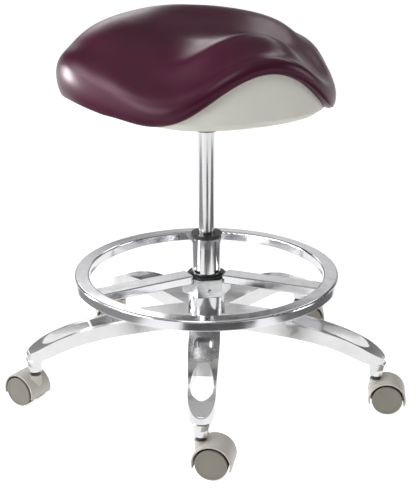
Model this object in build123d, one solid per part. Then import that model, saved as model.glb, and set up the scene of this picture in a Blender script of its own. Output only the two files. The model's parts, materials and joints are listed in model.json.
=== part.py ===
from build123d import *
import math
import os

os.makedirs("parts", exist_ok=True)

# Saddle-seat stool on a five-arm cast base with a foot ring and a gas lift.
# Millimetres, +Z up. The origin is on the floor under the column's axis, and the seat's front faces -Y.

# --- driving dimensions -------------------------------------------------------------------------------
ARM_COUNT = 5
ARM_START_DEG = -118.5           # direction of the first arm
BOSS_R = 307.7                   # column axis to caster stem axis
BOSS_RADIUS = 11.5
BOSS_BOTTOM_Z = 64.0
HUB_RADIUS = 32.5
HUB_Z0, HUB_Z1 = 112.0, 176.0
COLLAR_CIRCUMRADIUS = 43.0
COLLAR_Z1 = 208.0
COLLAR_FACET_DEG = -107.5

RING_OR, RING_IR = 230.0, 204.5
RING_Z0, RING_Z1 = 199.5, 217.0
SPOKE_DEG = [-48.0, 67.5, 183.0]
SPOKE_HALF = 16.0
SCREW_DEG = [-107.5, 12.5, 132.5]

TUBE_OR, TUBE_IR = 25.0, 22.5
TUBE_Z0, TUBE_Z1 = 62.0, 278.0
CAP_RADIUS = 26.5
CYL_OR, CYL_IR = 14.0, 12.5      # gas cylinder
CYL_Z0 = 216.0
CONE_Z0, CONE_Z1 = 464.0, 497.0
CONE_TOP_R = 13.1
ROD_R = 5.0
RUN = 0.05                       # radial running clearance

PAN_Z0 = 497.0                   # underside of the seat pan
FOAM_Z0 = 524.0                  # underside of the cushion in its middle
LEVER_Y, LEVER_Z, LEVER_R = 16.0, 507.5, 3.5

CASTER_TRAIL = 20.0
WHEEL_R = 26.0
HOOD_R = 31.5
HOOD_INNER_R = 29.2
HOOD_HALF = 24.0
CASTER_YAWS = [-39.0, -35.0, -30.0, 160.0, 120.0]  # trail directions, degrees


def save(shape, name):
    shape.label = name
    export_step(shape, "parts/%s.step" % name)


def fused(items):
    out = items[0]
    for it in items[1:]:
        out = out + it
    return out


def cyl(r, z0, z1, x=0.0, y=0.0):
    return Pos(x, y, (z0 + z1) / 2) * Cylinder(r, z1 - z0)


def tube(ro, ri, z0, z1, x=0.0, y=0.0):
    return cyl(ro, z0, z1, x, y) - cyl(ri, z0 - 1, z1 + 1, x, y)


def box(x0, x1, y0, y1, z0, z1):
    return Pos((x0 + x1) / 2, (y0 + y1) / 2, (z0 + z1) / 2) * Box(x1 - x0, y1 - y0, z1 - z0)


def interp(pts, t):
    if t <= pts[0][0]:
        return pts[0][1]
    for (a, va), (b, vb) in zip(pts, pts[1:]):
        if t <= b:
            return va + (vb - va) * (t - a) / (b - a)
    return pts[-1][1]


# --- five-arm base ------------------------------------------------------------------------------------
# Top edge of an arm, seen from the side: radius from the column axis, height.
ARM_TOP = [(20, 147), (60, 147.5), (112, 146.5), (146, 145), (185, 142), (215, 137.5), (241, 132), (262, 126),
           (282, 118.5), (300, 109.5), (312, 102.5), (322, 96)]
ARM_BOTTOM = [(322, 84), (300, 88), (282, 93.5), (262, 101), (241, 107.5), (215, 113), (185, 117.5),
              (146, 120.5), (112, 121.5), (60, 121.5), (20, 121)]
# Half-width of an arm in plan, its recess and its window.
ARM_HALF = [(20, 24), (60, 25), (115, 26), (200, 24.6), (250, 22.6), (270, 22.0), (290, 21.2), (300, 19.4),
            (308, 16.6), (314, 13.2), (319, 8.0)]
RECESS_HALF = [(132, 9), (138, 14), (150, 16.5), (185, 16.5), (208, 14.5)]
WINDOW_HALF = [(212, 10.5), (225, 13.0), (245, 16.6), (262, 18.2), (276, 17.4), (286, 12.5), (291, 6.5)]


def lobe(pts, blunt=None):
    """Plan face symmetric about the arm's line; the far end is closed by an arc through (blunt, 0) if given."""
    up = [(s, v) for s, v in pts]
    dn = [(s, -v) for s, v in reversed(pts)]
    e2 = ThreePointArc(up[-1], (blunt, 0), dn[0]) if blunt else Line(up[-1], dn[0])
    return make_face([Spline(*up), e2, Spline(*dn), Line(dn[-1], up[0])])


def side_band(top, bottom):
    """Solid slab, 80 wide, between two (radius, height) curves, the second given from the tip inwards."""
    edges = [Spline(*top), Line(top[-1], bottom[0]), Spline(*bottom), Line(bottom[-1], top[0])]
    face = Plane.XZ * make_face(edges)
    return extrude(face, amount=40, both=True)


def arm():
    body = side_band(ARM_TOP, ARM_BOTTOM) & extrude(lobe(ARM_HALF, 321.0), amount=300)
    recess = extrude(lobe(RECESS_HALF), amount=300)
    web_top = [(s, z - 9) for s, z in ARM_TOP if 60 <= s <= 262]
    web_low = [(s, z - 15) for s, z in ARM_TOP if 60 <= s <= 262]
    body = body - (side_band(web_top, [(s, z + 60) for s, z in reversed(web_top)]) & recess)
    body = body - (side_band([(s, z) for s, z in web_low], [(s, z - 60) for s, z in reversed(web_low)])
                   & extrude(lobe([(40, 17), (100, 18.5), (150, 18.5), (208, 16.5)]), amount=300))
    body = body - extrude(lobe(WINDOW_HALF, 293.5), amount=300)
    boss = cyl(BOSS_RADIUS, BOSS_BOTTOM_Z, 100.0, BOSS_R, 0)
    neck = Pos(BOSS_R, 0, 80) * Cone(BOSS_RADIUS, 15.5, 12)
    body = body + boss + neck
    return body - cyl(5.5, BOSS_BOTTOM_Z - 1, 88, BOSS_R, 0)


arm_solid = arm()
hub = cyl(HUB_RADIUS, HUB_Z0, HUB_Z1)
hub = chamfer(hub.edges().sort_by(Axis.Z)[:1], 4)
base = hub
for k in range(ARM_COUNT):
    base = base + Rot(0, 0, ARM_START_DEG + 72 * k) * arm_solid
base = base - cyl(TUBE_OR, 100, 230)
save(base, "star_base")

# --- foot ring with flat spokes, and the six-sided collar that clamps it to the column -----------------
ring = tube(RING_OR, RING_IR, RING_Z0, RING_Z1)
ring = fillet(ring.edges().group_by(Axis.Z)[-1], 3.5)
ring = fillet(ring.edges().group_by(Axis.Z)[0], 1.6)
for deg in SPOKE_DEG:
    bar = box(36, RING_IR + 4, -SPOKE_HALF, SPOKE_HALF, RING_Z0 + 0.5, RING_Z1 - 1.5)
    bar = fillet(bar.edges().filter_by(Axis.X), 2.0)
    ring = ring + Rot(0, 0, deg) * bar
collar = extrude(Plane.XY.offset(HUB_Z1) * (Rot(0, 0, COLLAR_FACET_DEG + 30) * RegularPolygon(COLLAR_CIRCUMRADIUS, 6)),
                 amount=COLLAR_Z1 - HUB_Z1)
collar = chamfer(collar.edges().group_by(Axis.Z)[-1] + collar.edges().group_by(Axis.Z)[0], 1.5)
collar = collar - cyl(TUBE_OR, 100, 230)
ring = ring - (collar + cyl(TUBE_OR + 9, 100, 230))
screws = []
for deg in SCREW_DEG:
    t = Rot(0, 0, deg) * (Pos(33, 0, (HUB_Z1 + COLLAR_Z1) / 2 - 4) * Rot(0, 90, 0) * Cylinder(3.0, 16))
    collar = collar - Rot(0, 0, deg) * (Pos(35, 0, (HUB_Z1 + COLLAR_Z1) / 2 - 4) * Rot(0, 90, 0) * Cylinder(3.0, 20))
    screws.append(t)
save(ring, "foot_ring")
save(collar, "ring_collar")
save(Compound(children=screws), "collar_screws")

# --- lift column, fixed to the base -------------------------------------------------------------------
outer = tube(TUBE_OR, TUBE_IR, TUBE_Z0, TUBE_Z1) + tube(TUBE_IR + 0.5, 8.0, TUBE_Z0, TUBE_Z0 + 3)
save(outer, "outer_tube")
cap = tube(CAP_RADIUS, CYL_OR + 0.4, TUBE_Z1, TUBE_Z1 + 7)
cap = fillet(cap.edges().sort_by(Axis.Z)[-1:], 1.0)
save(cap, "column_cap")
guide = tube(TUBE_IR, CYL_OR + RUN, TUBE_Z1 - 70, TUBE_Z1)
save(guide, "guide_bushing")
trim = tube(33.0, TUBE_OR, COLLAR_Z1, COLLAR_Z1 + 3) + tube(TUBE_OR + 3, TUBE_OR, COLLAR_Z1, COLLAR_Z1 + 6)
save(trim, "column_base_ring")
bearing = tube(17.0, ROD_R + RUN, TUBE_Z0 + 3, TUBE_Z0 + 9)
save(bearing, "thrust_bearing")
bumper = tube(15.0, ROD_R + 0.6, TUBE_Z0 + 9, TUBE_Z0 + 21)
bumper = fillet(bumper.edges().group_by(Axis.Z)[-1], 2)
save(bumper, "bump_stop")

# --- rod: turns in the base, and the gas cylinder slides along it -------------------------------------
rod = cyl(ROD_R, 55, 236) + cyl(CYL_IR - RUN, 232, 243)
rod = rod - (tube(8, 4.0, 58, 60.5))
save(rod, "lift_rod")
clip = tube(9.5, 4.0, 58.2, 60.3) - box(-4, 4, 0, 12, 50, 70)
save(clip, "rod_clip")

# --- gas cylinder, release pin ------------------------------------------------------------------------
cyl_tube = tube(CYL_OR, CYL_IR, CYL_Z0, CONE_Z0 - 20)
head = cyl(CYL_OR, CONE_Z0 - 20, CONE_Z0) + Pos(0, 0, (CONE_Z0 + CONE_Z1) / 2) * Cone(CYL_OR, CONE_TOP_R, CONE_Z1 - CONE_Z0)
cylinder = cyl_tube + head - cyl(4.0 + RUN, CONE_Z0 - 16, CONE_Z1 + 1)
save(cylinder, "gas_cylinder")
gland = tube(CYL_IR, ROD_R + RUN, CYL_Z0, CYL_Z0 + 12)
save(gland, "cylinder_gland")
button = cyl(4.0, CONE_Z0 - 10, CONE_Z1 + 6)
button = chamfer(button.edges().sort_by(Axis.Z)[-1:], 0.6)
save(button, "release_pin")

# --- seat mechanism plate with its taper socket and the lever's two ears -------------------------------
PLATE_X, PLATE_Y = 80.0, 68.0
plate = box(-PLATE_X, PLATE_X, -PLATE_Y, PLATE_Y, PAN_Z0 - 3, PAN_Z0)
plate = fillet(plate.edges().filter_by(Axis.Z), 12)
socket = cyl(19.0, CONE_Z0 + 1, PAN_Z0)
plate = plate + socket
plate = plate - (Pos(0, 0, (CONE_Z0 + CONE_Z1) / 2) * Cone(CYL_OR, CONE_TOP_R, CONE_Z1 - CONE_Z0))
for sx in (-1, 1):
    ear = box(sx * 28 - 2, sx * 28 + 2, LEVER_Y - 8, LEVER_Y + 8, PAN_Z0 - 1, LEVER_Z + 5)
    plate = plate + ear
for gx, gy in ((1, 0), (-1, 0), (0, 1), (0, -1)):
    rib = box(18 if gx == 1 else -55 if gx == -1 else -2, 55 if gx == 1 else -18 if gx == -1 else 2,
              18 if gy == 1 else -48 if gy == -1 else -2, 48 if gy == 1 else -18 if gy == -1 else 2,
              PAN_Z0 - 12, PAN_Z0 - 2)
    plate = plate + rib
bore = Rot(0, 90, 0) * Cylinder(LEVER_R + RUN, 90)
plate = plate - Pos(0, LEVER_Y, LEVER_Z) * bore
BOLT_XY = [(sx * 62, sy * 50) for sx in (-1, 1) for sy in (-1, 1)]
for x, y in BOLT_XY:
    plate = plate - cyl(3.0, PAN_Z0 - 20, PAN_Z0 + 1, x, y)
save(plate, "seat_plate")

# --- seat: outline in plan, cushion profiles, and the saddle-shaped underside --------------------------
OUTLINE = [(0, -206), (85, -206), (154, -154), (189, -78), (223, 0), (228, 94), (165, 165), (80, 192), (0, 190)]
# Cushion skin at stations across the seat: from the front rim over the top to the rear rim, as (y, z).
SECTIONS = {
    0: [(-199.2, 591), (-202.2, 625.4), (-173.5, 646.2), (-136.3, 646.2), (-99.6, 640.3), (-63.4, 632.1), (-26.5, 627.6), (10.7, 626.1), (47.8, 627.4), (83.5, 637.7), (119, 648.7), (155.6, 655.3), (186, 638.2), (188.2, 601.6), (173.8, 569)],
    30: [(-201, 586.5), (-204.9, 621.6), (-176.9, 644.3), (-139.4, 645.5), (-102.4, 639.8), (-66, 630.7), (-28.8, 626.4), (8.7, 627), (46.1, 629.3), (82.2, 639.3), (118.5, 649), (155.7, 653.6), (187, 636.9), (190, 600.2), (176.1, 567)],
    60: [(-202.1, 574.7), (-207.4, 610.2), (-181, 635.4), (-143.5, 639.6), (-105.7, 637.3), (-68.7, 629.1), (-31.2, 625.4), (6.5, 628.8), (44, 634), (80.5, 644.2), (117.7, 650.4), (155.5, 649.1), (187.7, 632), (191.9, 595.2), (178.8, 561.2)],
    90: [(-196.6, 556.4), (-203.8, 591.2), (-179.3, 618), (-142.7, 626.8), (-105.4, 631.1), (-67.9, 627.7), (-30.3, 626), (7, 630.8), (43.7, 639), (79.9, 649.4), (117.3, 651), (154.1, 643.1), (185.3, 623.5), (190.4, 587), (177.4, 553.3)],
    120: [(-179.6, 533.3), (-189.1, 565.5), (-168.1, 594.4), (-135.9, 611.1), (-100.8, 620.9), (-64.4, 622.9), (-27.9, 624.2), (8, 630.5), (43, 640.5), (78.7, 647.8), (115, 645.5), (150.1, 635.8), (178.5, 613.9), (183.8, 578.6), (170.6, 546.5)],
    148: [(-147.8, 519.8), (-161.4, 545.1), (-145.1, 574.2), (-119.2, 595.9), (-88.4, 609.8), (-55, 615.2), (-21.4, 619.4), (11.5, 627.4), (44.1, 636.8), (77.8, 639.1), (111.4, 634.7), (144.1, 626.4), (168.8, 604.1), (172.7, 571), (159.3, 542)],
    172: [(-96, 523.9), (-118.6, 536.7), (-110.9, 564.3), (-89.5, 584.6), (-63.3, 598.3), (-35.4, 608), (-6.7, 615.2), (21.8, 623.2), (50.9, 628.8), (80.4, 627), (109.7, 623), (137.9, 614.6), (157.5, 593.3), (159, 564), (145.5, 538)],
    192: [(-47.3, 519.3), (-67.5, 531.7), (-70, 556), (-55.1, 575.8), (-34.6, 590.2), (-12.3, 601.7), (11.2, 610.2), (35.8, 615.1), (60.8, 616.2), (85.8, 613.9), (110.5, 609.5), (133.1, 599.2), (144.8, 577.8), (142.7, 553), (129.3, 533.3)],
    207: [(-13, 520.5), (-32.3, 527.9), (-39.2, 548), (-32.8, 568.1), (-17.5, 583.3), (0.8, 594.7), (20.9, 602.4), (42.1, 606.5), (63.7, 606.8), (85.1, 604.1), (106, 598.8), (123.9, 587.2), (129.9, 567), (126, 545.9), (111.4, 530.1)],
    218: [(19.6, 526.3), (1.4, 528.4), (-10.7, 541.4), (-13.6, 559.2), (-5.7, 575.4), (8.3, 587.1), (24.7, 595), (42.5, 599.2), (60.8, 599.9), (78.9, 597.6), (96.2, 591.8), (110.4, 580.7), (114.7, 563.4), (110.7, 545.7), (89.5, 529.4)],
}
END_X, END_SCALE = 228.0, 0.72


def outline_face(k):
    right = [(x * k, y * k) for x, y in OUTLINE]
    left = [(-x, y) for x, y in reversed(right[1:-1])]
    return make_face([Spline(*(right + left), periodic=True)])


def profile(x):
    """Skin profile at x, interpolated between the stations."""
    ax = min(abs(x), END_X)
    xs = sorted(SECTIONS)
    last = SECTIONS[xs[-1]]
    cy = sum(p[0] for p in last) / len(last)
    end = [(cy + (y - cy) * END_SCALE, 540 + (z - 540) * END_SCALE) for y, z in last]
    for a, b in zip(xs + [END_X], xs[1:] + [END_X]):
        if a <= ax <= b and b > a:
            pa, pb = SECTIONS[a], SECTIONS.get(b, end)
            t = (ax - a) / (b - a)
            return [(ya + (yb - ya) * t, za + (zb - za) * t) for (ya, za), (yb, zb) in zip(pa, pb)]
    return end


def underside(x):
    """Underside profile of the cushion at x: from the front rim down to the middle and up to the rear rim."""
    prof = profile(min(abs(x), 218.0))
    (yf, zf), (yr, zr) = prof[0], prof[-1]
    out = [(-330, zf), (yf - 30, zf)]
    for t in (0.0, 0.12, 0.25, 0.38, 0.5, 0.62, 0.75, 0.88, 1.0):
        wf = math.cos(math.pi * t / 0.9) ** 2 if t < 0.45 else 0.0
        wr = math.cos(math.pi * (1 - t) / 0.9) ** 2 if t > 0.55 else 0.0
        out.append((yf + (yr - yf) * t, FOAM_Z0 + (zf - FOAM_Z0) * wf + (zr - FOAM_Z0) * wr))
    return out + [(yr + 30, zr), (330, zr)]


def underside_z(x, y):
    xs = sorted(SECTIONS)
    return interp(underside(x), y)


def underside_section(x):
    pts = underside(x)
    curve = Spline(*pts, tangents=[(1, 0), (1, 0)])
    edges = [curve, Line(pts[-1], (330, 700)), Line((330, 700), (-330, 700)), Line((-330, 700), pts[0])]
    return Plane(origin=(x, 0, 0), x_dir=(0, 1, 0), z_dir=(1, 0, 0)) * make_face(edges)


UNDER_X = [-260, -218, -192, -172, -148, -120, -90, -60, -30, 0, 30, 60, 90, 120, 148, 172, 192, 218, 260]
above = loft([underside_section(x) for x in UNDER_X], ruled=True)

# The pan is a shallow bowl: its plan size, as a share of the seat's outline, at each height.
PAN_OUT = [(497, 0.66), (501, 0.76), (508, 0.86), (518, 0.925), (535, 0.945), (600, 0.955)]
PAN_IN = [(500.5, 0.66), (504.5, 0.755), (511.5, 0.85), (520, 0.905), (535, 0.925), (601, 0.935)]
pan_out = loft([Plane.XY.offset(z) * outline_face(k) for z, k in PAN_OUT], ruled=True)
pan_in = loft([Plane.XY.offset(z) * outline_face(k) for z, k in PAN_IN], ruled=True)
pan = pan_out - pan_in - above
SCREW_XY = [(-100, 100), (100, 100), (-125, -20), (125, -20), (-85, -90), (85, -90)]
BOARD = 10.0
bosses = [cyl(6.0, PAN_Z0 + 2, 575, x, y) for x, y in SCREW_XY] + [cyl(8.0, PAN_Z0 + 2, 575, x, y) for x, y in BOLT_XY]
for b in bosses:
    pan = pan + (b - Pos(0, 0, -BOARD) * above)
pan = pan - box(-38, 38, -16, 32, PAN_Z0 - 1, PAN_Z0 + 5)
for x, y in BOLT_XY:
    pan = pan - cyl(3.0, PAN_Z0 - 20, 580, x, y)
for x, y in SCREW_XY:
    pan = pan - cyl(2.0, PAN_Z0 - 20, 580, x, y)
pan = pan - Pos(190, LEVER_Y, LEVER_Z) * Rot(0, 90, 0) * Cylinder(6.0, 80)
pan = max(pan.solids(), key=lambda s: s.volume)
save(pan, "seat_pan")

board = extrude(Plane.XY.offset(505) * outline_face(0.82), amount=120)
board = (board & (Pos(0, 0, -BOARD) * above)) - above
for x, y in BOLT_XY:
    board = board - cyl(3.0, 400, underside_z(x, y) - 2, x, y)
for x, y in SCREW_XY:
    board = board - cyl(2.0, 400, underside_z(x, y) - 3, x, y)
board = max(board.solids(), key=lambda s: s.volume)
save(board, "seat_board")

mech_bolts = [cyl(3.0, PAN_Z0 - 3, underside_z(x, y) - 3, x, y) + cyl(6.0, PAN_Z0 - 7.5, PAN_Z0 - 3, x, y) for x, y in BOLT_XY]
save(Compound(children=mech_bolts), "plate_bolts")
pan_screws = [cyl(2.0, PAN_Z0, underside_z(x, y) - 4, x, y) + cyl(4.0, PAN_Z0 - 2, PAN_Z0, x, y) for x, y in SCREW_XY]
save(Compound(children=pan_screws), "pan_screws")

# --- cushion: foam and its cover, closed solids lofted across the seat ----------------------------------


def cushion_section(x, inset):
    """Closed profile of the cushion at one station across the seat, drawn inset from its skin."""
    prof = profile(x * END_X / (END_X - inset))
    pts = []
    for i, (y, z) in enumerate(prof):
        (ya, za), (yb, zb) = prof[max(0, i - 1)], prof[min(len(prof) - 1, i + 1)]
        dy, dz = yb - ya, zb - za
        if i in (0, len(prof) - 1):
            pts.append((y + (inset if i == 0 else -inset), z))
        else:
            n = math.hypot(dy, dz)
            pts.append((y + inset * dz / n, z - inset * dy / n))
    low = FOAM_Z0 - 30
    (yf, zf), (yr, zr) = pts[0], pts[-1]
    edges = [Line((yf, low), (yf, zf)), Spline(*pts), Line((yr, zr), (yr, low)), Line((yr, low), (yf, low))]
    return Plane(origin=(x, 0, 0), x_dir=(0, 1, 0), z_dir=(1, 0, 0)) * make_face(edges)


def cushion_body(inset):
    k = (END_X - inset) / END_X
    xs = [f * k for f in (0, 30, 60, 90, 120, 148, 172, 192, 207, 218, END_X)]
    xs = [-x for x in reversed(xs[1:])] + xs
    whole = loft([cushion_section(x, inset) for x in xs], ruled=True)
    whole = whole & (Pos(0, 0, 0.4) * above)
    return max(whole.solids(), key=lambda s: s.volume)


COVER = 3.0                      # vinyl with its backing
foam = cushion_body(COVER)
cover = cushion_body(0.0) - foam
cover = max(cover.solids(), key=lambda s: s.volume)
save(foam, "seat_foam")
save(cover, "seat_cover")

# --- height lever: a rod across the seat with a finger over the release pin, and a paddle outside ------
lever = Pos(92, LEVER_Y, LEVER_Z) * Rot(0, 90, 0) * Cylinder(LEVER_R, 268)
finger = box(-5, 5, -1, LEVER_Y, CONE_Z1 + 6.3, LEVER_Z + 1.5) + Pos(0, LEVER_Y, LEVER_Z) * Rot(0, 90, 0) * Cylinder(6.0, 10)
lever = lever + (finger - Pos(0, 0, 0) * box(-20, 20, -20, 40, 400, CONE_Z1 + 6.3))
save(lever, "height_lever")
grip = box(217, 232, LEVER_Y - 9, LEVER_Y + 70, LEVER_Z - 5.5, LEVER_Z + 5.5)
grip = fillet(grip.edges(), 4.0)
grip = grip - Pos(221, LEVER_Y, LEVER_Z) * Rot(0, 90, 0) * Cylinder(LEVER_R, 10)
save(grip, "lever_paddle")

coil = Helix(pitch=2.2, height=15.4, radius=5.2, center=(0, 0, 0), direction=(0, 0, 1))
wire_face = Plane(origin=coil @ 0, z_dir=coil % 0) * Circle(0.55)
spring = sweep(wire_face, path=coil)
spring = Pos(9, LEVER_Y, LEVER_Z) * Rot(0, 90, 0) * spring
save(spring, "lever_spring")


# --- casters: hooded twin wheels ------------------------------------------------------------------------
def axle_cyl(r, y0, y1, x=CASTER_TRAIL, z=WHEEL_R):
    return Pos(x, (y0 + y1) / 2, z) * Rot(90, 0, 0) * Cylinder(r, y1 - y0)


def housing():
    h = axle_cyl(HOOD_R, -HOOD_HALF, HOOD_HALF)
    h = fillet(h.edges().filter_by(GeomType.CIRCLE), 1.0)
    h = h + cyl(10.5, 36, 56.0)
    for s in (-1, 1):
        a, b = sorted((s * 4.0, s * 40.0))
        h = h - axle_cyl(HOOD_INNER_R, a, b)
    h = h - box(-60, 90, -40, 40, -10, 18.0)
    h = h - cyl(5.0 + RUN, 43, 60)
    h = h - axle_cyl(3.0, -10, 10)
    return max(h.solids(), key=lambda s: s.volume)


def stem():
    s = cyl(5.0, 43.4, 57) + cyl(8.5, 56.5, BOSS_BOTTOM_Z) + cyl(5.5, BOSS_BOTTOM_Z - 1, 86)
    return chamfer(s.edges().sort_by(Axis.Z)[-1:], 1.0)


def wheel(sgn):
    a, b = sorted((sgn * 4.6, sgn * 22.2))
    w = axle_cyl(7.0, a, b)
    a, b = sorted((sgn * 9.0, sgn * 12.0))
    w = w + axle_cyl(21.0, a, b)
    a, b = sorted((sgn * 5.5, sgn * 22.0))
    w = w + (axle_cyl(21.0, a, b) - axle_cyl(17.5, a - 1, b + 1))
    a, b = sorted((sgn * 22.0, sgn * 25.0))
    face = axle_cyl(25.5, a, b)
    outer_edge = face.edges().filter_by(GeomType.CIRCLE).sort_by(lambda e: sgn * e.center().Y)[-1:]
    face = fillet(outer_edge, 1.4)
    a, b = sorted((sgn * 24.5, sgn * 25.4))
    face = face - axle_cyl(21.5, a, b)
    w = w + face
    a, b = sorted((sgn * 2.0, sgn * 20.5))
    return w - axle_cyl(3.0 + RUN, a, b)


def tread(sgn):
    a, b = sorted((sgn * 5.5, sgn * 22.0))
    t = axle_cyl(WHEEL_R, a, b)
    t = fillet(t.edges().filter_by(GeomType.CIRCLE), 2.0)
    return t - axle_cyl(21.0, a - 1, b + 1)


parts = {"housing": housing(), "stem": stem(), "axle": axle_cyl(3.0, -20, 20),
         "wheel_a": wheel(-1), "wheel_b": wheel(1), "tread_a": tread(-1), "tread_b": tread(1)}
for k in range(ARM_COUNT):
    a = math.radians(ARM_START_DEG + 72 * k)
    x, y = BOSS_R * math.cos(a), BOSS_R * math.sin(a)
    for name, shape in parts.items():
        yaw = 0 if name == "stem" else CASTER_YAWS[k]
        save(Pos(x, y, 0) * Rot(0, 0, yaw) * shape, "caster_%d_%s" % (k + 1, name))
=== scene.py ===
import bpy
import bmesh
import json
import math
import numpy as np
from mathutils import Vector, Matrix


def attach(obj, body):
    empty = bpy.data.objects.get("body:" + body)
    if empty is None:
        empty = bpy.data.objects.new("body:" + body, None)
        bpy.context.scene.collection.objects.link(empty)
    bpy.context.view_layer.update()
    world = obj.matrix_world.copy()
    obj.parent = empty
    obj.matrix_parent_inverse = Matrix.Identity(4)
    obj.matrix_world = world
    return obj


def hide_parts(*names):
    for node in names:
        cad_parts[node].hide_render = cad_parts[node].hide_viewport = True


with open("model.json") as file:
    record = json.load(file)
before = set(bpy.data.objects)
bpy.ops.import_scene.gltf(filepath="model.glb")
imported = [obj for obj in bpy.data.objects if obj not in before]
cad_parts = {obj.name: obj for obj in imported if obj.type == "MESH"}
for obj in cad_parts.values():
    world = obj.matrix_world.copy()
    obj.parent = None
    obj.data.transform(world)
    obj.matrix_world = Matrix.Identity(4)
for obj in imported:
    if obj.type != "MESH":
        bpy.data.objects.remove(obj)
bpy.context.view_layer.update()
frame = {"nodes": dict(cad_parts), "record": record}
nodes = frame["nodes"]
scene = bpy.context.scene
scene.view_settings.view_transform = "Standard"
scene.view_settings.look = "None"

# --- camera ---------------------------------------------------------------------------------------------
AZ = math.radians(-27.0)
PITCH = math.radians(19.39)
FWD = Vector((-math.sin(AZ), math.cos(AZ), 0.0))
RIGHT = Vector((math.cos(AZ), math.sin(AZ), 0.0))
cam_data = bpy.data.cameras.new("camera")
cam_data.sensor_width = 36.0
cam_data.lens = 76.44
cam_data.shift_x = 0.0052
cam_data.clip_start, cam_data.clip_end = 0.05, 100.0
cam = bpy.data.objects.new("camera", cam_data)
scene.collection.objects.link(cam)
cam.location = -FWD * 1.7 + Vector((0, 0, 0.86133))
look = FWD * math.cos(PITCH) - Vector((0, 0, math.sin(PITCH)))
cam.rotation_mode = "QUATERNION"
cam.rotation_quaternion = look.to_track_quat("-Z", "Y")
scene.camera = cam


# --- material helpers -----------------------------------------------------------------------------------
class Mat:
    """A procedural Principled material in object coordinates, in metres."""

    def __init__(self, name, color, rough=0.5, metal=0.0, **sockets):
        self.m = bpy.data.materials.new(name)
        self.m.use_nodes = True
        self.t = self.m.node_tree
        self.b = self.t.nodes["Principled BSDF"]
        self.b.inputs["Base Color"].default_value = (*color, 1)
        self.b.inputs["Roughness"].default_value = rough
        self.b.inputs["Metallic"].default_value = metal
        for k, v in sockets.items():
            self.b.inputs[k.replace("_", " ")].default_value = v
        self.co = self.t.nodes.new("ShaderNodeTexCoord").outputs["Object"]
        self.normal = None

    def node(self, kind, **values):
        n = self.t.nodes.new(kind)
        for k, v in values.items():
            if hasattr(n, k) and k not in n.inputs:
                setattr(n, k, v)
            else:
                n.inputs[k.replace("_", " ")].default_value = v
        return n

    def link(self, a, b):
        self.t.links.new(a, b)

    def scaled(self, scale):
        n = self.node("ShaderNodeMapping")
        n.inputs["Scale"].default_value = scale
        self.link(self.co, n.inputs["Vector"])
        return n.outputs["Vector"]

    def noise(self, scale, detail=3.0, rough=0.5, vec=None):
        n = self.node("ShaderNodeTexNoise", Scale=scale, Detail=detail, Roughness=rough)
        self.link(vec or self.co, n.inputs["Vector"])
        return n.outputs["Fac"]

    def voronoi(self, scale, feature="F1", vec=None, randomness=1.0):
        n = self.node("ShaderNodeTexVoronoi")
        n.feature = feature
        n.inputs["Scale"].default_value = scale
        n.inputs["Randomness"].default_value = randomness
        self.link(vec or self.co, n.inputs["Vector"])
        return n.outputs["Distance"]

    def ramp(self, fac, stops):
        n = self.node("ShaderNodeValToRGB")
        e = n.color_ramp.elements
        while len(e) < len(stops):
            e.new(0.5)
        for el, (p, c) in zip(e, stops):
            el.position = p
            el.color = (*c, 1) if hasattr(c, "__len__") else (c, c, c, 1)
        self.link(fac, n.inputs["Fac"])
        return n.outputs["Color"]

    def span(self, fac, lo, hi, a=0.0, b=1.0):
        n = self.node("ShaderNodeMapRange")
        for k, v in zip(("From Min", "From Max", "To Min", "To Max"), (a, b, lo, hi)):
            n.inputs[k].default_value = v
        self.link(fac, n.inputs["Value"])
        return n.outputs["Result"]

    def bump(self, height, strength, distance):
        n = self.node("ShaderNodeBump", Strength=strength, Distance=distance)
        self.link(height, n.inputs["Height"])
        if self.normal is not None:
            self.link(self.normal, n.inputs["Normal"])
        self.normal = n.outputs["Normal"]
        self.link(self.normal, self.b.inputs["Normal"])

    def set(self, socket, out):
        self.link(out, self.b.inputs[socket])


def between(a, b, t):
    return tuple(x + (y - x) * t for x, y in zip(a, b))


def make_vinyl():
    c = (0.046, 0.0034, 0.0170)
    m = Mat("vinyl_burgundy", c, 0.33, 0.0, Specular_IOR_Level=0.31, Specular_Tint=(1.0, 0.78, 0.88, 1.0))
    m.set("Base Color", m.ramp(m.noise(9.0, 4.0), [(0.3, tuple(x * 0.86 for x in c)), (0.7, tuple(x * 1.14 for x in c))]))
    m.set("Roughness", m.span(m.noise(26.0, 5.0), 0.29, 0.37, 0.3, 0.7))
    warp = m.noise(60.0, 2.0)
    grain = m.voronoi(620.0, "DISTANCE_TO_EDGE")
    m.bump(m.span(grain, 0.0, 1.0, 0.0, 0.25), 0.16, 0.00012)
    m.bump(m.noise(1700.0, 2.0, 0.6), 0.10, 0.00010)
    m.bump(warp, 0.10, 0.0010)
    return m.m


def make_pan():
    c = (0.60, 0.585, 0.535)
    m = Mat("pan_plastic", c, 0.48, 0.0)
    m.set("Base Color", m.ramp(m.noise(14.0, 4.0), [(0.25, (0.66, 0.65, 0.585)), (0.75, (0.72, 0.71, 0.64))]))
    m.set("Roughness", m.span(m.noise(40.0, 3.0), 0.42, 0.56, 0.3, 0.7))
    m.bump(m.noise(1500.0, 3.0, 0.7), 0.22, 0.00012)
    m.bump(m.noise(22.0, 2.0), 0.06, 0.0020)
    return m.m


def make_polished(name, c, lo, hi, streak=(1, 1, 1), bump=0.05):
    m = Mat(name, c, (lo + hi) / 2, 1.0)
    m.set("Base Color", m.ramp(m.noise(17.0, 4.0), [(0.25, tuple(x * 0.92 for x in c)), (0.8, tuple(min(1, x * 1.04) for x in c))]))
    v = m.scaled(streak)
    m.set("Roughness", m.span(m.noise(55.0, 6.0, 0.65, v), lo, hi, 0.3, 0.7))
    m.bump(m.noise(420.0, 3.0, 0.6, v), bump, 0.00008)
    m.bump(m.noise(19.0, 2.0), bump * 1.4, 0.0016)
    return m.m


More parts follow.
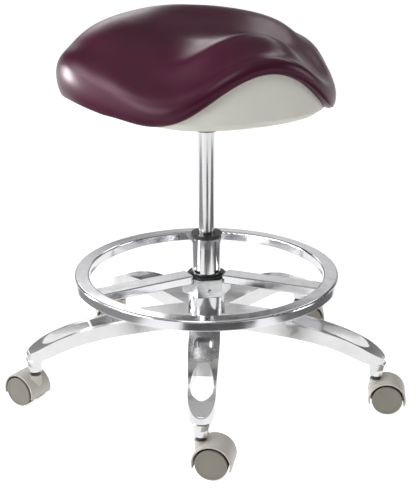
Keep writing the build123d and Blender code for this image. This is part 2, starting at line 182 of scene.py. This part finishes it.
def make_steel(name, c, lo, hi, streak):
    m = Mat(name, c, (lo + hi) / 2, 1.0)
    v = m.scaled(streak)
    m.set("Base Color", m.ramp(m.noise(90.0, 5.0, 0.6, v), [(0.3, tuple(x * 0.85 for x in c)), (0.7, tuple(min(1, x * 1.08) for x in c))]))
    m.set("Roughness", m.span(m.noise(130.0, 5.0, 0.6, v), lo, hi, 0.3, 0.7))
    m.bump(m.noise(500.0, 4.0, 0.6, v), 0.12, 0.00008)
    return m.m


def make_plastic(name, c, rough=0.5, vary=0.12, grain=1300.0, strength=0.25, distance=0.00014, spec=0.5):
    m = Mat(name, c, rough, 0.0, Specular_IOR_Level=spec)
    m.set("Base Color", m.ramp(m.noise(30.0, 4.0), [(0.25, tuple(x * (1 - vary) for x in c)), (0.75, tuple(min(1, x * (1 + vary)) for x in c))]))
    m.set("Roughness", m.span(m.noise(60.0, 4.0), rough - 0.07, rough + 0.07, 0.3, 0.7))
    m.bump(m.noise(grain, 3.0, 0.7), strength, distance)
    return m.m


def make_rubber(name, c, rough=0.75):
    m = Mat(name, c, rough, 0.0)
    m.set("Base Color", m.ramp(m.noise(45.0, 5.0, 0.7), [(0.25, tuple(x * 0.75 for x in c)), (0.8, tuple(min(1, x * 1.5 + 0.01) for x in c))]))
    m.set("Roughness", m.span(m.noise(80.0, 4.0), rough - 0.1, rough + 0.1, 0.3, 0.7))
    m.bump(m.noise(900.0, 4.0, 0.7), 0.35, 0.0002)
    return m.m


def make_wood():
    m = Mat("plywood", (0.50, 0.33, 0.18), 0.6, 0.0)
    v = m.scaled((1.0, 14.0, 60.0))
    m.set("Base Color", m.ramp(m.noise(14.0, 6.0, 0.6, v), [(0.2, (0.36, 0.22, 0.11)), (0.5, (0.50, 0.33, 0.18)), (0.8, (0.60, 0.43, 0.26))]))
    m.bump(m.noise(40.0, 5.0, 0.6, v), 0.3, 0.0004)
    return m.m


ALU = make_polished("polished_aluminium", (0.68, 0.68, 0.685), 0.15, 0.27)
RINGM = make_polished("polished_ring", (0.70, 0.70, 0.72), 0.08, 0.17)
CHROME = make_polished("chrome", (0.68, 0.68, 0.69), 0.10, 0.17, (1, 1, 0.08), 0.03)
ZINC = make_steel("collar_zinc", (0.62, 0.63, 0.64), 0.16, 0.26, (1, 1, 4))
STEEL = make_steel("steel", (0.62, 0.62, 0.63), 0.22, 0.38, (8, 8, 1))
BLACKP = make_plastic("black_plastic", (0.018, 0.018, 0.019), 0.38, 0.2)
GUIDE = make_plastic("guide_plastic", (0.70, 0.69, 0.64), 0.5)
RUB = make_rubber("black_rubber", (0.025, 0.025, 0.025))
BLACKS = make_plastic("black_enamel", (0.022, 0.022, 0.023), 0.42, 0.15, 700.0, 0.3, 0.0002)
DARKS = make_plastic("dark_stem", (0.030, 0.024, 0.020), 0.34, 0.25, 500.0, 0.2, 0.0001)
WOOD = make_wood()
TAUPE = make_plastic("taupe_plastic", (0.52, 0.49, 0.445), 0.40, 0.08, 1200.0, 0.22, 0.00012)
DISC = make_plastic("taupe_disc", (0.22, 0.205, 0.170), 0.36, 0.08, 1000.0, 0.18, 0.00010)
TREAD = make_rubber("wheel_tread", (0.012, 0.011, 0.010), 0.6)
VINYL = make_vinyl()
PAN = make_pan()

MATS = {"polished_aluminium": ALU, "zinc_grey": ZINC, "steel": STEEL, "dark_steel": DARKS, "chrome": CHROME,
        "black_plastic": BLACKP, "guide_plastic": GUIDE, "black_rubber": RUB, "black_steel": BLACKS, "plywood": WOOD,
        "pan_plastic": PAN, "vinyl": VINYL, "foam": VINYL, "wheel_tread": TREAD, "taupe_plastic": TAUPE}
for sub in frame["record"]["subparts"]:
    o = nodes[sub["node"]]
    mat = MATS[sub["material_slot"]]
    if sub["node"] == "foot_ring":
        mat = RINGM
    if "_wheel_" in sub["node"]:
        mat = DISC
    if not o.data.materials:
        o.data.materials.append(mat)
    for i in range(len(o.data.materials)):
        o.data.materials[i] = mat

# --- seat surface ---------------------------------------------------------------------------------------
# Values at plan angles 0 (rear) to 180 (front) degrees in steps of 22.5, in millimetres: outline radius, height of
# the lower roll, radius of the upper roll, drop of the front slope, and width of the slope.
SEAT_R = [191.8, 206.2, 233.5, 246.8, 225.5, 210.6, 216.5, 215.8, 210.0]
SEAT_V = [47.4, 47.0, 45.2, 42.3, 38.3, 30.7, 20.5, 11.0, 8.0]
SEAT_E = [46.2, 45.9, 43.9, 40.2, 34.2, 26.4, 20.8, 17.5, 16.1]
SEAT_D = [0.4, 1.3, 1.0, 1.4, 6.7, 10.7, 20.9, 31.6, 33.3]
SEAT_W = [80.3, 80.3, 79.9, 79.0, 77.6, 75.7, 74.4, 74.1, 74.0]
# Height of the saddle's top sheet over a grid: |x| = 0, 50 .. 200 by y = -200, -150 .. 200.
SEAT_Z = [[649.6, 644.9, 635.8, 629.2, 631.9, 644.1, 655.5, 657.1, 646.4],
          [638.7, 635.3, 627.5, 625.1, 632.3, 645.4, 655.4, 654.2, 641.4],
          [608.9, 606.0, 604.6, 614.2, 631.4, 646.4, 651.6, 643.9, 627.6],
          [569.5, 579.1, 586.6, 602.5, 624.0, 638.2, 637.5, 626.1, 607.6],
          [531.6, 557.7, 576.0, 590.2, 603.5, 611.5, 609.3, 600.7, 582.9]]
GRID_X = np.array([0, 50, 100, 150, 200.0])
GRID_Y = np.array([-200, -150, -100, -50, 0, 50, 100, 150, 200.0])


def around(values, ph):
    """Smooth even function of the plan angle through values at 0, 22.5 .. 180 degrees."""
    v = np.array(values)
    vv = np.r_[v, v[-2:0:-1]]
    n = len(vv)
    c = np.fft.rfft(vv) / n
    out = np.full(ph.shape, c[0].real)
    for k in range(1, len(c)):
        w = 1.0 if 2 * k == n else 2.0
        out = out + w * c[k].real * np.cos(k * ph) * (0.5 if k >= 7 else 1.0)
    return out


def cardinal(xs, q):
    """Natural cubic spline through each unit vector: one row per q, one column per knot."""
    n = len(xs)
    h = np.diff(xs)
    A, B = np.zeros((n, n)), np.zeros((n, n))
    A[0, 0] = A[-1, -1] = 1
    for i in range(1, n - 1):
        A[i, i - 1], A[i, i], A[i, i + 1] = h[i - 1], 2 * (h[i - 1] + h[i]), h[i]
        B[i, i - 1] += 6 / h[i - 1]
        B[i, i] -= 6 / h[i - 1] + 6 / h[i]
        B[i, i + 1] += 6 / h[i]
    M = np.linalg.solve(A, B)
    q = np.clip(q, xs[0], xs[-1])
    k = np.clip(np.searchsorted(xs, q) - 1, 0, n - 2)
    a = (xs[k + 1] - q) / h[k]
    b = 1 - a
    W = np.zeros((len(q), n))
    r = np.arange(len(q))
    W[r, k] += a
    W[r, k + 1] += b
    return W + ((a**3 - a) * h[k] ** 2 / 6)[:, None] * M[k] + ((b**3 - b) * h[k] ** 2 / 6)[:, None] * M[k + 1]


SYM_X = np.r_[-GRID_X[:0:-1], GRID_X]
Z = np.array(SEAT_Z)
SYM_Z = np.vstack([Z[:0:-1], Z])


def sheet_z(x, y):
    return ((cardinal(SYM_X, x) @ SYM_Z) * cardinal(GRID_Y, y)).sum(1)


def sstep(t):
    t = np.clip(t, 0, 1)
    return t * t * (3 - 2 * t)


NT = 192
PH = np.linspace(0, 2 * np.pi, NT, endpoint=False)
UX, UY = np.sin(PH), np.cos(PH)
R_, V_, E_, D_, W_ = [around(v, PH) for v in (SEAT_R, SEAT_V, SEAT_E, SEAT_D, SEAT_W)]
E_, D_ = np.maximum(E_, 8), np.maximum(D_, 0)


def ring_at(r, dz):
    x, y = r * UX, r * UY
    return np.stack([x, y, sheet_z(x, y) + dz], -1)


RIM = ring_at(R_ - 0.30 * V_, -D_ - E_ - V_)


def mesh_from_rings(name, rings, cap_first=True, cap_last=True):
    """Closed mesh from rings of NT points each; the end rings close on a centre point."""
    verts = [p for ring in rings for p in ring]
    faces = []
    for i in range(len(rings) - 1):
        for j in range(NT):
            k = (j + 1) % NT
            faces.append((i * NT + j, i * NT + k, (i + 1) * NT + k, (i + 1) * NT + j))
    for cap, i in ((cap_first, 0), (cap_last, len(rings) - 1)):
        if cap:
            c = len(verts)
            verts.append(np.mean(rings[i], axis=0))
            for j in range(NT):
                k = (j + 1) % NT
                faces.append((c, i * NT + k, i * NT + j) if i == 0 else (c, i * NT + j, i * NT + k))
    me = bpy.data.meshes.new(name)
    me.from_pydata([tuple(float(v) / 1000 for v in p) for p in verts], [], faces)
    me.validate()
    bm = bmesh.new()
    bm.from_mesh(me)
    bmesh.ops.recalc_face_normals(bm, faces=bm.faces)
    bm.to_mesh(me)
    bm.free()
    me.polygons.foreach_set("use_smooth", [True] * len(me.polygons))
    o = bpy.data.objects.new(name, me)
    scene.collection.objects.link(o)
    return o


def subdivide(o, levels=1):
    m = o.modifiers.new("subdivision", "SUBSURF")
    m.levels = m.render_levels = levels
    return o


# cushion: top sheet, front slope, upper roll, lower roll, tuck and underside
rings = []
for t in np.linspace(0, 1, 22)[1:]:
    rings.append(ring_at((R_ - W_) * t, 0 * R_))
for t in np.linspace(0, 1, 20)[1:]:
    rings.append(ring_at(R_ - W_ + (W_ - E_) * t, -D_ * sstep(t)))
for b in np.linspace(0, np.pi / 2, 11)[1:]:
    rings.append(ring_at(R_ - E_ + E_ * np.sin(b), -D_ - E_ * (1 - np.cos(b))))
for b in np.linspace(0, np.pi / 2, 11)[1:]:
    rings.append(ring_at(R_ - 0.30 * V_ * (1 - np.cos(b)), -D_ - E_ - V_ * np.sin(b)))
# even out the ring-to-ring transitions, so that the slope, the ridge and the roll run into each other
for _ in range(8):
    rings = rings[:12] + [(rings[i - 1] + 2 * rings[i] + rings[i + 1]) / 4 for i in range(12, len(rings) - 3)] + rings[-3:]
rim_r = R_ - 0.30 * V_
MID_Z = 526.0
for dr, dz in ((2.0, -1.6), (5.0, -2.0), (9.0, -1.2), (16.0, 0.0)):
    rings.append(np.stack([(rim_r - dr) * UX, (rim_r - dr) * UY, RIM[:, 2] + dz], -1))
for t in (0.85, 0.7, 0.5, 0.3, 0.12):
    z = MID_Z + (RIM[:, 2] - MID_Z) * sstep((t - 0.25) / 0.7)
    rings.append(np.stack([rim_r * t * UX, rim_r * t * UY, z], -1))
seat = mesh_from_rings("seat_upholstery", rings)
subdivide(seat)
seat.data.materials.append(VINYL)
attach(seat, "seat")
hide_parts("seat_cover", "seat_foam")

# pan: shallow bowl from the floor up to the cushion's rim, with a wall whose outer and inner faces meet along the
# top edge
PAN_K = [(497, 0.66), (501, 0.76), (508, 0.86), (518, 0.925), (535, 0.945), (600, 0.955)]


def pan_k(z):
    zs = np.array([p[0] for p in PAN_K], float)
    ks = np.array([p[1] for p in PAN_K], float)
    return np.interp(z, zs, ks)


# the bowl is drawn in more at its sides, towards the bottom
SIDE = 0.15 * np.exp(-(((np.degrees(np.minimum(PH, 2 * np.pi - PH)) - 75) / 40) ** 2))


def pan_rings(inset, lift):
    out = []
    top = RIM[:, 2] - 1.6 - (0.0 if inset == 0 else 0.8)
    for s in (0.02, 0.25, 0.5, 0.8, 0.95, 1.0):
        r = R_ * (0.66 - SIDE) * s - (inset if s == 1.0 else 0)
        out.append(np.stack([r * UX, r * UY, np.full(NT, 497.0 + lift)], -1))
    for t in np.linspace(0, 1, 26)[1:]:
        z = 497 + (top - 497) * t ** 1.7
        k = pan_k(z) - SIDE * np.clip((532 - z) / 35, 0, 1)
        r = np.minimum(R_ * k, rim_r - 3.0) - inset
        out.append(np.stack([r * UX, r * UY, np.minimum(z + lift * (1 - t), top)], -1))
    return out


outer, inner = pan_rings(0.0, 0.0), pan_rings(3.6, 3.2)
pan = mesh_from_rings("seat_pan_shell", outer + inner[::-1])
cut = bpy.data.meshes.new("cut")
bm = bmesh.new()
bmesh.ops.create_cube(bm, size=1.0, matrix=Matrix.Translation((0, 0.008, 0.498)) @ Matrix.Diagonal((0.076, 0.048, 0.02, 1)))
bmesh.ops.create_cone(bm, segments=32, radius1=0.006, radius2=0.006, depth=0.14, cap_ends=True,
                      matrix=Matrix.Translation((0.175, 0.016, 0.5075)) @ Matrix.Rotation(math.pi / 2, 4, "Y"))
bm.to_mesh(cut)
bm.free()
cutter = bpy.data.objects.new("cutter", cut)
scene.collection.objects.link(cutter)
mod = pan.modifiers.new("cut", "BOOLEAN")
mod.operation, mod.solver, mod.object = "DIFFERENCE", "EXACT", cutter
dg = bpy.context.evaluated_depsgraph_get()
done = bpy.data.meshes.new_from_object(pan.evaluated_get(dg))
pan.modifiers.clear()
pan.data = done
bpy.data.objects.remove(cutter)
pan.data.materials.clear()
pan.data.materials.append(PAN)
pan.data.polygons.foreach_set("use_smooth", [True] * len(pan.data.polygons))
pan.data.set_sharp_from_angle(angle=math.radians(50))
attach(pan, "seat")
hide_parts("seat_pan")

# --- stage: floor, soft light ----------------------------------------------------------------------------
UP = Vector((0, 0, 1))


def plain(name, color, emission=0.0, rough=0.9):
    m = bpy.data.materials.new(name)
    m.use_nodes = True
    b = m.node_tree.nodes["Principled BSDF"]
    b.inputs["Base Color"].default_value = (*color, 1)
    b.inputs["Roughness"].default_value = rough
    b.inputs["Specular IOR Level"].default_value = 0.0
    b.inputs["Emission Color"].default_value = (1, 1, 1, 1)
    b.inputs["Emission Strength"].default_value = emission
    return m


def sheet(name, centre, u, v, mat):
    """Flat four-cornered sheet; u and v run from its centre to the middles of two edges."""
    me = bpy.data.meshes.new(name)
    c = Vector(centre)
    me.from_pydata([c - u - v, c + u - v, c + u + v, c - u + v], [], [(0, 1, 2, 3)])
    me.materials.append(mat)
    o = bpy.data.objects.new(name, me)
    scene.collection.objects.link(o)
    return o


floor = sheet("floor", (0, 0, 0), Vector((30, 0, 0)), Vector((0, 30, 0)), plain("floor", (0.42, 0.42, 0.42), 0.90))
# dark felt on the floor between the object and the camera, below the picture: what the ring's front wall mirrors
sheet("front_felt", -FWD * 0.76 + RIGHT * 0.12 + UP * 0.002, RIGHT * 0.32, FWD * 0.19, plain("felt", (0.12, 0.12, 0.12)))
sheet("near_felt", -FWD * 1.28 + RIGHT * 0.27 + UP * 0.002, RIGHT * 0.30, FWD * 0.30, plain("grey_near", (0.22, 0.22, 0.22)))
# grey sheets beside the object, out of the picture, which shade the sides of the bright tubes
sheet("left_felt", -RIGHT * 1.12 - FWD * 0.05 + UP * 0.002, RIGHT * 0.62, FWD * 0.62, plain("grey_left", (0.38, 0.38, 0.38)))
sheet("right_felt", RIGHT * 1.15 - FWD * 0.05 + UP * 0.002, RIGHT * 0.62, FWD * 0.55, plain("grey_right", (0.22, 0.22, 0.22)))

# bright band behind the object, just above the picture: what the ring's and the arms' tops mirror
card = plain("band", (0.0, 0.0, 0.0), 0.85)
ct = card.node_tree
cn = ct.nodes.new("ShaderNodeTexNoise")
cn.inputs["Scale"].default_value = 2.2
cn.inputs["Detail"].default_value = 1.0
cco = ct.nodes.new("ShaderNodeTexCoord")
ct.links.new(cco.outputs["Object"], cn.inputs["Vector"])
cr = ct.nodes.new("ShaderNodeValToRGB")
cr.color_ramp.elements[0].position, cr.color_ramp.elements[0].color = 0.38, (0.35, 0.35, 0.36, 1)
cr.color_ramp.elements[1].position, cr.color_ramp.elements[1].color = 0.52, (1.0, 1.0, 1.0, 1)
ct.links.new(cn.outputs["Fac"], cr.inputs["Fac"])
ct.links.new(cr.outputs["Color"], ct.nodes["Principled BSDF"].inputs["Emission Color"])
sheet("back_band", FWD * 1.5 + UP * 0.74, RIGHT * 2.2, UP * 0.17, card)

world = bpy.data.worlds.new("studio")
scene.world = world
world.use_nodes = True
wt = world.node_tree
bg = wt.nodes["Background"]
tc = wt.nodes.new("ShaderNodeTexCoord")
sep = wt.nodes.new("ShaderNodeSeparateXYZ")
wt.links.new(tc.outputs["Generated"], sep.inputs[0])
rampn = wt.nodes.new("ShaderNodeValToRGB")
els = rampn.color_ramp.elements
els[0].position, els[0].color = 0.0, (0.10, 0.10, 0.105, 1)
els[1].position, els[1].color = 1.0, (0.30, 0.30, 0.30, 1)
for p, v in ((0.30, 0.07), (0.58, 0.09), (0.80, 0.22)):
    e = els.new(p)
    e.color = (v, v, v * 1.01, 1)
wt.links.new(sep.outputs["Z"], rampn.inputs["Fac"])
wt.links.new(rampn.outputs["Color"], bg.inputs["Color"])
bg.inputs["Strength"].default_value = 1.0


def area(name, pos, target, size, power, size_y=None, spread=180):
    d = bpy.data.lights.new(name, "AREA")
    d.shape = "RECTANGLE"
    d.size, d.size_y = size, size_y or size
    d.energy = power
    d.spread = math.radians(spread)
    o = bpy.data.objects.new(name, d)
    scene.collection.objects.link(o)
    o.location = pos
    o.rotation_mode = "QUATERNION"
    o.rotation_quaternion = (Vector(target) - Vector(pos)).to_track_quat("-Z", "Y")
    return o


area("back_top", FWD * 1.9 + RIGHT * 1.0 + UP * 2.0, (0, 0, 0.55), 1.2, 6.0, 0.5)
area("back_left", FWD * 1.9 - RIGHT * 0.55 + UP * 1.20, (0, 0, 0.60), 0.8, 3.3, 0.5)
area("tip_left", -RIGHT * 1.8 + FWD * 0.55 + UP * 0.66, (0, 0, 0.62), 0.45, 3.2, 0.7, 50)
area("key_left", -RIGHT * 1.9 - FWD * 0.05 + UP * 1.75, (0, 0, 0.62), 1.2, 2.8, 1.3, 50)
area("left_front", -RIGHT * 1.9 - FWD * 1.15 + UP * 1.0, (0, 0, 0.5), 1.1, 19.0, 0.9)
area("top_front", -FWD * 1.6 - RIGHT * 0.3 + UP * 2.5, (0, 0, 0.5), 1.0, 14.0)
area("fill_right", RIGHT * 2.4 + FWD * 0.2 + UP * 1.1, (0, 0, 0.45), 0.8, 9.0)
sun = bpy.data.lights.new("sky", "SUN")
sun.energy, sun.angle = 0.5, math.radians(100)
sun_o = bpy.data.objects.new("sky", sun)
scene.collection.objects.link(sun_o)
sun_o.rotation_euler = (math.radians(12), math.radians(-8), 0)
